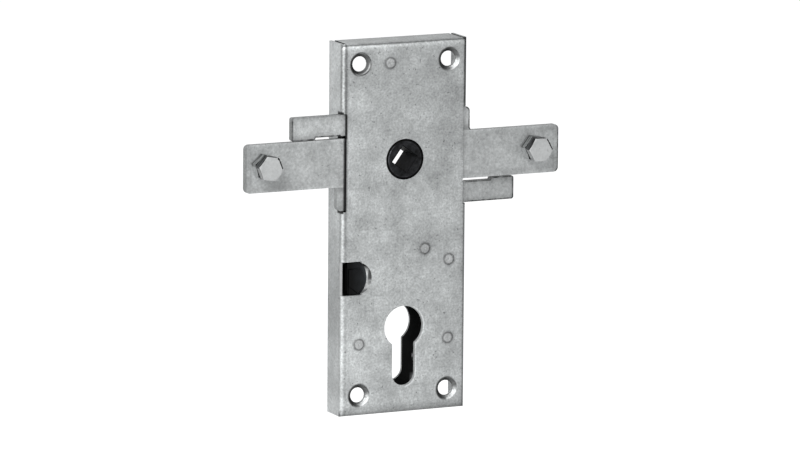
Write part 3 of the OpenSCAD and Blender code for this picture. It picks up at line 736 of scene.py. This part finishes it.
def copyOf(node):
    # merged copy of a CAD node's mesh, with its flat faces joined up
    bm = bmesh.new()
    bm.from_mesh(nodes[node].data)
    for face in bm.faces:
        face.material_index = 0
    bmesh.ops.remove_doubles(bm, verts=bm.verts, dist=pieceLook["merge"] * mm)
    bmesh.ops.dissolve_limit(bm, angle_limit=math.radians(pieceLook["flat"]), verts=bm.verts, edges=bm.edges)
    return bm


axes = {"X": Vector((1, 0, 0)), "Y": Vector((0, 1, 0)), "Z": Vector((0, 0, 1))}


def turned(bm, profile, centre, axis="Y", steps=48, material=0):
    # a shape turned on a lathe round an axis: the profile lists (radius, place along the axis)
    middle = Vector(centre) * mm
    before = set(bm.faces)
    points = [bm.verts.new(middle + axes["Z"] * r * mm + axes[axis] * y * mm) for r, y in profile]
    edges = [bm.edges.new(pair) for pair in zip(points, points[1:])]
    bmesh.ops.spin(bm, geom=points + edges, cent=middle, axis=axes[axis], angle=2 * math.pi,
                   steps=steps, use_merge=True)
    for face in bm.faces:
        if face not in before:
            face.material_index = material


def domed(radius, base, height):
    # the profile of a dome from its top, which stands this far along the axis from its base
    turns = [math.radians(d) for d in range(0, 91, 15)]
    return [(radius * math.sin(a), base + height * math.cos(a)) for a in turns]


def closeUp(bm):
    bmesh.ops.remove_doubles(bm, verts=bm.verts, dist=pieceLook["close"] * mm)
    bmesh.ops.recalc_face_normals(bm, faces=bm.faces)


# ---- case
caseLook = {
    "edge": 0.16, "plateEdge": 0.12, "bend": 2.1, "front": -13.5, "halfW": 28.25, "halfH": 77.5, "sheet": 1.2,
    "holes": (20, 69), "sinkR": 5.0, "followerZ": 28.5, "followerR": 8.7, "windowHalf": 20.5, "windowX": 26.4,
    "lipX": 27, "seamX": 27.2, "seamZ": 74, "foldBack": -10,
    "slant": 0.05, "across": 0.3, "facing": 0.5, "straight": 0.9,  # how far a face's normal leans
    "skin": 0.02,
    "finish": ["caseZinc", "wallZinc", "sinkZinc", "pressedZinc", "innerZinc", "paintedShadowBlack", "boltZinc"],
}


def caseFinish(face, look):
    # which finish a face of the folded case takes, by its place and the way it looks
    at, way = face.calc_center_median() / mm, face.normal
    front, halfW, halfH, straight = look["front"], look["halfW"], look["halfH"], look["straight"]
    back, skin = front + look["sheet"], look["skin"]
    slanted = abs(way.y) > look["slant"] and (abs(way.x) > look["slant"] or abs(way.z) > look["slant"])
    fromHole = math.hypot(abs(at.x) - look["holes"][0], abs(at.z) - look["holes"][1])
    if fromHole < look["sinkR"] and way.y < -look["slant"] and slanted:
        return "sinkZinc"
    # painted shadow: the walls of the follower hole, the cut edges at the side windows and the relief slots
    # take the black finish
    fromFollower = math.hypot(at.x, at.z - look["followerZ"])
    if fromFollower < look["followerR"] and abs(way.y) < look["across"] and at.y < back:
        return "paintedShadowBlack"
    beside = abs(at.z - look["followerZ"])
    if beside < look["windowHalf"] and abs(at.x) > look["windowX"]:
        if abs(way.z) > straight or (abs(way.x) > straight and at.y < back and abs(at.x) < look["lipX"]):
            return "paintedShadowBlack"
    if slanted and way.y < 0 and at.y < front + look["bend"]:
        onFold = abs(at.x) > halfW - look["bend"] or abs(at.z) > halfH - look["bend"]
        return "caseZinc" if onFold else "pressedZinc"
    if abs(way.x) > straight and abs(at.z) > look["seamZ"] and abs(at.x) < look["seamX"]:
        return "paintedShadowBlack"
    # painted highlight: the front-facing lip faces take the lighter bolt finish
    onLip = abs(at.x) > look["lipX"] and at.y < look["foldBack"] and beside > look["windowHalf"]
    if way.y < -straight and onLip:
        return "boltZinc"
    outside = at.y < front + skin or abs(at.x) > halfW - skin or abs(at.z) > halfH - skin
    # inside faces take the inner finish, with its painted shade
    if way.y > look["facing"] or (not outside and at.y > back):
        return "innerZinc"
    return "wallZinc" if abs(way.x) > straight and at.y > front + look["bend"] else "caseZinc"


def dressCase(look):
    bm = copyOf("front_cover")
    for face in bm.faces:
        face.material_index = look["finish"].index(caseFinish(face, look))
    makePiece("caseCover", bm, look["finish"], "front_cover", look["edge"])
    bm = copyOf("back_plate")
    for face in bm.faces:
        # the plate's inner face takes the inner finish, with its painted shade
        if face.normal.y < -look["facing"]:
            face.material_index = 1
    makePiece("backPlate", bm, ["caseZinc", "innerZinc"], "back_plate", look["plateEdge"])


dressCase(caseLook)
print("case dressed")


# ---- staked posts, washer and rivets
postLook = {
    # the body of each post lists (radius, place along Y) between its two spigots
    "front": -13.5, "inner": -12.3, "plate": -1.2, "groove": 0.62, "sunk": 0.25, "dimpleR": 0.6, "dimple": 0.42,
    "posts": {
        "spacerPosts": {"node": "spacer_posts", "places": stakeLook["spacers"], "spigotR": 2.38,
                        "body": [(3.3, -12.3), (3.5, -12.1), (3.5, -1.4), (3.3, -1.2)]},
        "leverPivot": {"node": "lever_pivot", "places": [stakeLook["pivot"]], "spigotR": 2.38,
                       "body": [(3.0, -12.3), (3.0, -9.2), (4.0, -9.2), (4.2, -9.0), (4.2, -1.4), (4.0, -1.2)]},
        "springPost": {"node": "spring_post", "places": [stakeLook["springPost"]], "spigotR": 2.32,
                       "body": [(2.4, -12.3), (2.4, -5.9), (3.8, -5.9), (4.0, -5.7), (4.0, -1.4), (3.8, -1.2)]},
    },
}
washerLook = {
    "profile": [(3.1, -12.2), (3.15, -12.25), (4.85, -12.25), (5.0, -12.1), (5.0, -11.55), (4.85, -11.4),
                (3.1, -11.4), (3.1, -12.2)],
}


def stakedPost(bm, x, z, post, look):
    # both ends are staked flush, with a groove round them and a centre mark at the front
    front, r, g, d = look["front"], post["spigotR"], look["groove"], look["sunk"]
    ends = [(0, front + look["dimple"]), (look["dimpleR"], front + 0.02), (r - g - 0.12, front + 0.01),
            (r - g, front + 0.03)]
    body = [(r, front + d), (r, look["inner"])] + post["body"]
    body += [(r, look["plate"]), (r, -d), (r - g, -0.03), (0, -0.02)]
    turned(bm, ends, (x, 0, z))
    # the groove takes the darker finish, painted shade
    turned(bm, [ends[-1], body[0]], (x, 0, z), material=1)
    turned(bm, body, (x, 0, z))


def dressPosts(look):
    for name, post in look["posts"].items():
        bm = bmesh.new()
        for x, z in post["places"]:
            stakedPost(bm, x, z, post, look)
        closeUp(bm)
        makePiece(name, bm, ["postZinc", "grooveZinc"], post["node"])


def dressWasher(look):
    bm = bmesh.new()
    x, z = stakeLook["pivot"]
    turned(bm, look["profile"], (x, 0, z))
    closeUp(bm)
    makePiece("leverWasher", bm, ["edgeZinc"], "lever_washer")


rivetLook = {
    # the dome's radius, base and height, and the shank from the head to the end of the tail
    "guideRivets": {"node": "guide_rivets", "places": [(x, z) for x in (-17, 17) for z in (5.4, 51.6)],
                    "dome": (2.5, -2.4, -0.8), "shank": [(1.5, -2.4), (1.5, -0.15), (1.35, 0), (0, 0)]},
    "bracketRivet": {"node": "bracket_rivet", "places": [(20, -55.8)],
                     "dome": (2.5, -2.7, -0.7), "shank": [(1.5, -2.7), (1.5, -0.15), (1.35, 0), (0, 0)]},
    "snibRivets": {"node": "snib_rivets", "places": [(-22, -17.65), (-22, -23.85)],
                   "dome": (1.95, -9.3, 0.7), "shank": [(1.2, -9.3), (1.2, -12.4), (1.0, -12.5), (0, -12.5)]},
}


def dressRivets(looks):
    for name, look in looks.items():
        bm = bmesh.new()
        radius, base, height = look["dome"]
        for x, z in look["places"]:
            turned(bm, domed(radius, base, height) + [(radius, base)] + look["shank"], (x, 0, z), steps=32)
        closeUp(bm)
        makePiece(name, bm, ["edgeZinc"], look["node"])


dressPosts(postLook)
dressWasher(washerLook)
dressRivets(rivetLook)
print("posts, washer and rivets made")


# ---- slides, guide, lever and bracket
sheetLook = {
    "left_slide": {"piece": "leftSlide", "edge": 0.22, "line": 0.6, "face": "slideZinc", "rim": "edgeZinc"},
    "right_slide": {"piece": "rightSlide", "edge": 0.22, "line": 0.6, "face": "slideZinc", "rim": "edgeZinc"},
    # the parts inside the case take the inner finish, with its painted shade
    "slide_guide": {"piece": "slideGuide", "edge": 0.2, "face": "innerZinc", "rim": "innerZinc"},
    "locking_lever": {"piece": "lockingLever", "edge": 0.18, "face": "innerZinc", "rim": "innerZinc"},
    "screw_bracket": {"piece": "screwBracket", "edge": 0.2, "face": "innerZinc", "rim": "innerZinc"},
}


def dressSheets(looks):
    for node, look in looks.items():
        bm = copyOf(node)
        for face in bm.faces:
            face.material_index = 0 if abs(face.normal.y) > 0.7 else 1
        if "line" in look:
            front = [face for face in bm.faces if face.normal.y < -0.9]
            strip = bmesh.ops.inset_region(bm, faces=front, thickness=look["line"] * mm, use_even_offset=True)
            for face in strip["faces"]:
                face.material_index = 2
        makePiece(look["piece"], bm, [look["face"], look["rim"], "edgeLineZinc"], node, look["edge"])


dressSheets(sheetLook)
print("slides, guide, lever and bracket made")


# ---- follower and snib
followerLook = {"edge": 0.12, "axisZ": 28.5, "faceR": 6.2, "boreR": 5.0, "front": -13.5, "rimDepth": 0.8,
                "finish": ["followerBlack", "followerRim", "followerBore", "snibSlope"]}
snibLook = {"edge": 0.15, "padFront": -13.1, "crown": 0.75, "slopeY": -12, "slopeZ": -22,
            "finish": ["snibBlack", "snibSlope"]}


def dressFollower(look):
    bm = copyOf("follower")
    for face in bm.faces:
        at, facing = face.calc_center_median() / mm, face.normal.y
        fromCentre = math.hypot(at.x, at.z - look["axisZ"])
        # the rim and the front face take the finish with the painted highlight and shadow of the rim
        if at.y < look["front"] + look["rimDepth"] and (fromCentre > look["faceR"] or facing < -0.95):
            face.material_index = 1
        # painted shade: the bore's walls take the darker finishes
        if fromCentre < look["boreR"] and abs(facing) < 0.95:
            face.material_index = 2 if abs(facing) < 0.3 else 3
    makePiece("followerHub", bm, look["finish"], "follower", look["edge"], segments=3)


def dressSnib(look):
    # the pad's front edge is rounded like a thumb rest
    bm = copyOf("snib")
    rim = [e for e in bm.edges if all(abs(v.co.y / mm - look["padFront"]) < 0.01 for v in e.verts)]
    bmesh.ops.bevel(bm, geom=rim, offset=look["crown"] * mm, offset_type="OFFSET", segments=5, profile=0.5,
                    affect="EDGES", material=-1, clamp_overlap=True)
    for face in bm.faces:
        at, way = face.calc_center_median() / mm, face.normal
        # painted shade: the slope that faces the lower left takes the darker finish
        if at.y < look["slopeY"] and at.z < look["slopeZ"] and way.x < -0.2 and way.z < -0.2:
            face.material_index = 1
    makePiece("thumbSnib", bm, look["finish"], "snib", look["edge"])


dressFollower(followerLook)
dressSnib(snibLook)
print("follower and snib made")


# ---- clamp bolts and lock nuts
boltLook = {
    "boltFinish": ["boltZinc", "boltFlat", "threadZinc", "boltSide", "paintedShadowBlack"],
    "nutFinish": ["boltZinc", "nutFlat", "threadZinc", "slideZinc", "paintedShadowBlack"],
    "axisZ": 29.7, "leftX": -63.3, "rightX": 58.8, "flats": 9.5, "edge": 0.06, "edgeAngle": 25,
    "headFront": -21.1, "headH": 4.0, "nutH": 4.98, "arm": -12.1, "nutBore": 2.99,
    "tailEnd": -1.6, "rootR": 2.62, "crestR": 2.98, "pitch": 1.0, "endTaper": 0.6, "overlap": 0.01,
    "headTurn": {"left": -9.4, "right": -1.5},
    "nutTurn": {"left": -15.3, "right": -8.5},
}
hexLook = {
    # the turned ring as a share of the flats, the slope of the corners, and the widths of ring and band
    "steps": 60, "washer": 0.985, "chamfer": 28, "ringGap": 0.04, "ringInset": 0.55, "band": 0.7,
    # angles between which the sides and the ring take their painted light and shade
    "lowLeft": (176, 300), "nutDark": (90, 300), "headLight": (57, 357),
}


def hexBody(bm, x, z, y0, y1, flats, turn, bore=0.0):
    # a hexagon along Y with its corners turned off: a head at its front, a nut with its bore at both ends
    look = hexLook
    apothem, steps = flats / 2, look["steps"]
    washerR = apothem * look["washer"]
    slope = math.tan(math.radians(look["chamfer"]))

    def rim(y, side, r=None, inset=0.0):
        ring = bmesh.ops.create_circle(bm, cap_ends=False, radius=1, segments=steps)["verts"]
        for vert in ring:
            a = math.atan2(vert.co.y, vert.co.x)
            reach = apothem / math.cos((a + math.pi / 6) % (math.pi / 3) - math.pi / 6)
            radius = min(washerR - look["ringGap"], reach - inset) if inset else r or reach
            drop = max(0.0, reach - washerR) * slope if r is None and side else 0.0
            place = a + math.radians(30 + turn)
            vert.co = Vector((x + radius * math.cos(place), y + drop * side, z + radius * math.sin(place))) * mm
        return list({e for v in ring for e in v.link_edges})

    # each loop of edges comes with the zone of the faces before it
    if bore:
        loops = [(0, rim(y0, 0, bore)), (4, rim(y0, 0, washerR)), (4, rim(y0, 1)), (1, rim(y1, -1)),
                 (1, rim(y1, 0, washerR)), (0, rim(y1, 0, bore))]
    else:
        loops = [(0, rim(y0, 0, inset=look["ringInset"])), (4, rim(y0, 0, washerR)), (4, rim(y0, 1)),
                 (1, rim(y1 - look["band"], 0)), (5, rim(y1, 0))]
    for (_, a), (zone, b) in zip(loops, loops[1:]):
        for face in bmesh.ops.bridge_loops(bm, edges=a + b)["faces"]:
            at = face.calc_center_median() / mm
            toSide = math.degrees(math.atan2(at.z - z, at.x - x)) % 360
            lowLeft = look["lowLeft"][0] < toSide < look["lowLeft"][1]
            if zone == 4:
                # painted shade: a dark line at the upper right of a head, and a dark left half of a nut's face
                low, high = look["nutDark"] if bore else look["headLight"]
                inside = low < toSide < high
                face.material_index = 4 if inside == bool(bore) else 0
            # painted light and shade by direction: flats at the lower left take the lighter side finish, the
            # others the dark flat finish, and a head's back band is black at the lower left
            elif zone:
                face.material_index = (4 if zone == 5 else 3) if lowLeft else 1
    if bore:
        bmesh.ops.bridge_loops(bm, edges=loops[-1][1] + loops[0][1])
    else:
        bmesh.ops.holes_fill(bm, edges=loops[-1][1] + loops[0][1], sides=0)


threadLook = {"steps": 28, "crest": (0.42, 0.5, 0.58), "crown": 0.04, "merge": 0.004, "finish": 2}


def threadAlong(bm, centre, axis, y0, y1, rootR, crestR, pitch, endTaper):
    # a rolled thread: one pitch of its profile spun up the axis, cut flat at both ends
    look = threadLook
    along, steps = axes[axis], look["steps"]
    turns = math.ceil((y1 - y0) / pitch) + 2
    part = bmesh.new()
    low, top, high = look["crest"]
    shoulder = crestR - look["crown"]
    profile = [(rootR, 0), (shoulder, low), (crestR, top), (shoulder, high), (rootR, 1)]
    points = [part.verts.new(axes["Z"] * r * mm + along * (y0 - pitch + p * pitch) * mm) for r, p in profile]
    edges = [part.edges.new(pair) for pair in zip(points, points[1:])]
    bmesh.ops.spin(part, geom=points + edges, cent=(0, 0, 0), axis=along, dvec=along * pitch * mm / steps,
                   angle=2 * math.pi * turns, steps=steps * turns)
    bmesh.ops.remove_doubles(part, verts=part.verts, dist=look["merge"] * mm)
    for place, way in ((y0, -along), (y1, along)):
        geom = list(part.verts) + list(part.edges) + list(part.faces)
        bmesh.ops.bisect_plane(part, geom=geom, dist=1e-8, plane_co=along * place * mm, plane_no=way,
                               clear_outer=True)
        rim = [e for e in part.edges
               if e.is_boundary and all(abs(v.co.dot(along) - place * mm) < 1e-7 for v in e.verts)]
        bmesh.ops.holes_fill(part, edges=rim, sides=0)
    for vert in part.verts:
        height = vert.co.dot(along) / mm
        spoke = vert.co - along * height * mm
        limit = (crestR - max(0.0, height - (y1 - endTaper))) * mm
        if spoke.length > limit:
            vert.co = along * height * mm + spoke * (limit / spoke.length)
    bmesh.ops.recalc_face_normals(part, faces=part.faces)
    bmesh.ops.translate(part, verts=part.verts, vec=Vector(centre) * mm)
    for face in part.faces:
        face.material_index = look["finish"]
    mesh = bpy.data.meshes.new("threadPart")
    part.to_mesh(mesh)
    part.free()
    bm.from_mesh(mesh)
    bpy.data.meshes.remove(mesh)


def dressBolts(look):
    z, front, arm, flats = look["axisZ"], look["headFront"], look["arm"], look["flats"]
    back = front + look["headH"]
    for side in ("left", "right"):
        x = look[side + "X"]
        bm = bmesh.new()
        hexBody(bm, x, z, front, back, flats, look["headTurn"][side])
        closeUp(bm)
        threadAlong(bm, (x, 0, z), "Y", back - look["overlap"], look["tailEnd"], look["rootR"], look["crestR"],
                    look["pitch"], look["endTaper"])
        makePiece(side + "ClampBolt", bm, look["boltFinish"], side + "_clamp_bolt", look["edge"],
                  angle=look["edgeAngle"])
        bm = bmesh.new()
        hexBody(bm, x, z, arm - look["nutH"], arm, flats, look["nutTurn"][side], look["nutBore"])
        closeUp(bm)
        makePiece(side + "LockNut", bm, look["nutFinish"], side + "_lock_nut", look["edge"],
                  angle=look["edgeAngle"])


dressBolts(boltLook)
print("clamp bolts and nuts made")


# ---- springs
springLook = {
    # centre of the first turn, radius, wire, rise of a turn, first angle, turns, and the legs from both ends
    "follower_spring": {"piece": "followerSpring", "centre": (0, -7.25, 28.5), "radius": 7.8, "wire": 1.2,
                        "pitch": 1.7, "start": 162.5, "turns": 2.5486, "firstLeg": [], "lastLeg": [(0, 0, 12)]},
    "lever_spring": {"piece": "leverSpring", "centre": (20.5, -10.3, -14.6), "radius": 3.2, "wire": 0.8,
                     "pitch": 1.3, "start": 120, "turns": 2.6667, "firstLeg": [(-3.4, 0, 0.68)],
                     "lastLeg": [(2.8, 0, 8)]},
}


def drawOut(bm, face, steps):
    # straight legs drawn from a coil's end face
    for step in steps:
        made = bmesh.ops.extrude_face_region(bm, geom=[face])["geom"]
        ends = [g for g in made if isinstance(g, bmesh.types.BMVert)]
        bmesh.ops.translate(bm, verts=ends, vec=Vector(step) * mm)
        if face.is_valid:
            bmesh.ops.delete(bm, geom=[face], context="FACES_ONLY")
        face = next(g for g in made if isinstance(g, bmesh.types.BMFace))


def dressSprings(looks):
    for node, look in looks.items():
        bm = bmesh.new()
        a = math.radians(look["start"])
        centre = Vector(look["centre"]) * mm
        spoke = Vector((math.cos(a), 0, math.sin(a)))
        ring = bmesh.ops.create_circle(bm, cap_ends=True, radius=look["wire"] / 2 * mm, segments=12)["verts"]
        # the ring lies in the plane of the coil's axis and its spoke
        turn = Matrix((spoke, axes["Y"], spoke.cross(axes["Y"]))).transposed().to_4x4()
        place = Matrix.Translation(centre + spoke * look["radius"] * mm) @ turn
        bmesh.ops.transform(bm, matrix=place, verts=ring)
        first = list(bm.faces)[0]
        steps = round(look["turns"] * 36)
        sweep = bmesh.ops.spin(bm, geom=[first], cent=centre, axis=-axes["Y"], angle=math.tau * look["turns"],
                               dvec=axes["Y"] * look["pitch"] * look["turns"] * mm / steps, steps=steps)
        last = next(g for g in sweep["geom_last"] if isinstance(g, bmesh.types.BMFace))
        drawOut(bm, last, look["lastLeg"])
        if first.is_valid:
            drawOut(bm, first, look["firstLeg"])
        closeUp(bm)
        makePiece(look["piece"], bm, ["springSteel"], node)


dressSprings(springLook)
print("springs made")


# ---- cylinder screw
screwLook = {
    "y": -6.75, "z": -55.8, "tip": 8.1, "rodR": 2.5, "headR": 4.3, "wall": 27.05, "outer": 28.25, "edge": 0.05,
    "rootR": 2.05, "crestR": 2.48, "pitch": 0.8, "finish": ["boltZinc", "boltFlat", "screwDark"],
}


def dressScrew(look):
    bm = bmesh.new()
    at = (0, look["y"], look["z"])
    head, r, neck = look["headR"], look["rodR"], look["wall"] - 3
    flush = look["outer"] - 0.02
    turned(bm, [(0, neck), (r - 0.02, neck), (r, look["outer"] - head + r), (head, flush - 0.04),
                (head - 0.05, flush), (0, flush)], at, axis="X")
    closeUp(bm)
    threadAlong(bm, at, "X", look["tip"], neck + 0.5, look["rootR"], look["crestR"], look["pitch"], 0.0)
    makePiece("cylinderScrew", bm, look["finish"], "cylinder_screw", look["edge"])


dressScrew(screwLook)
print("cylinder screw made")

left = [n for n, o in nodes.items() if not o.hide_render]
print("nodes left showing:", left)
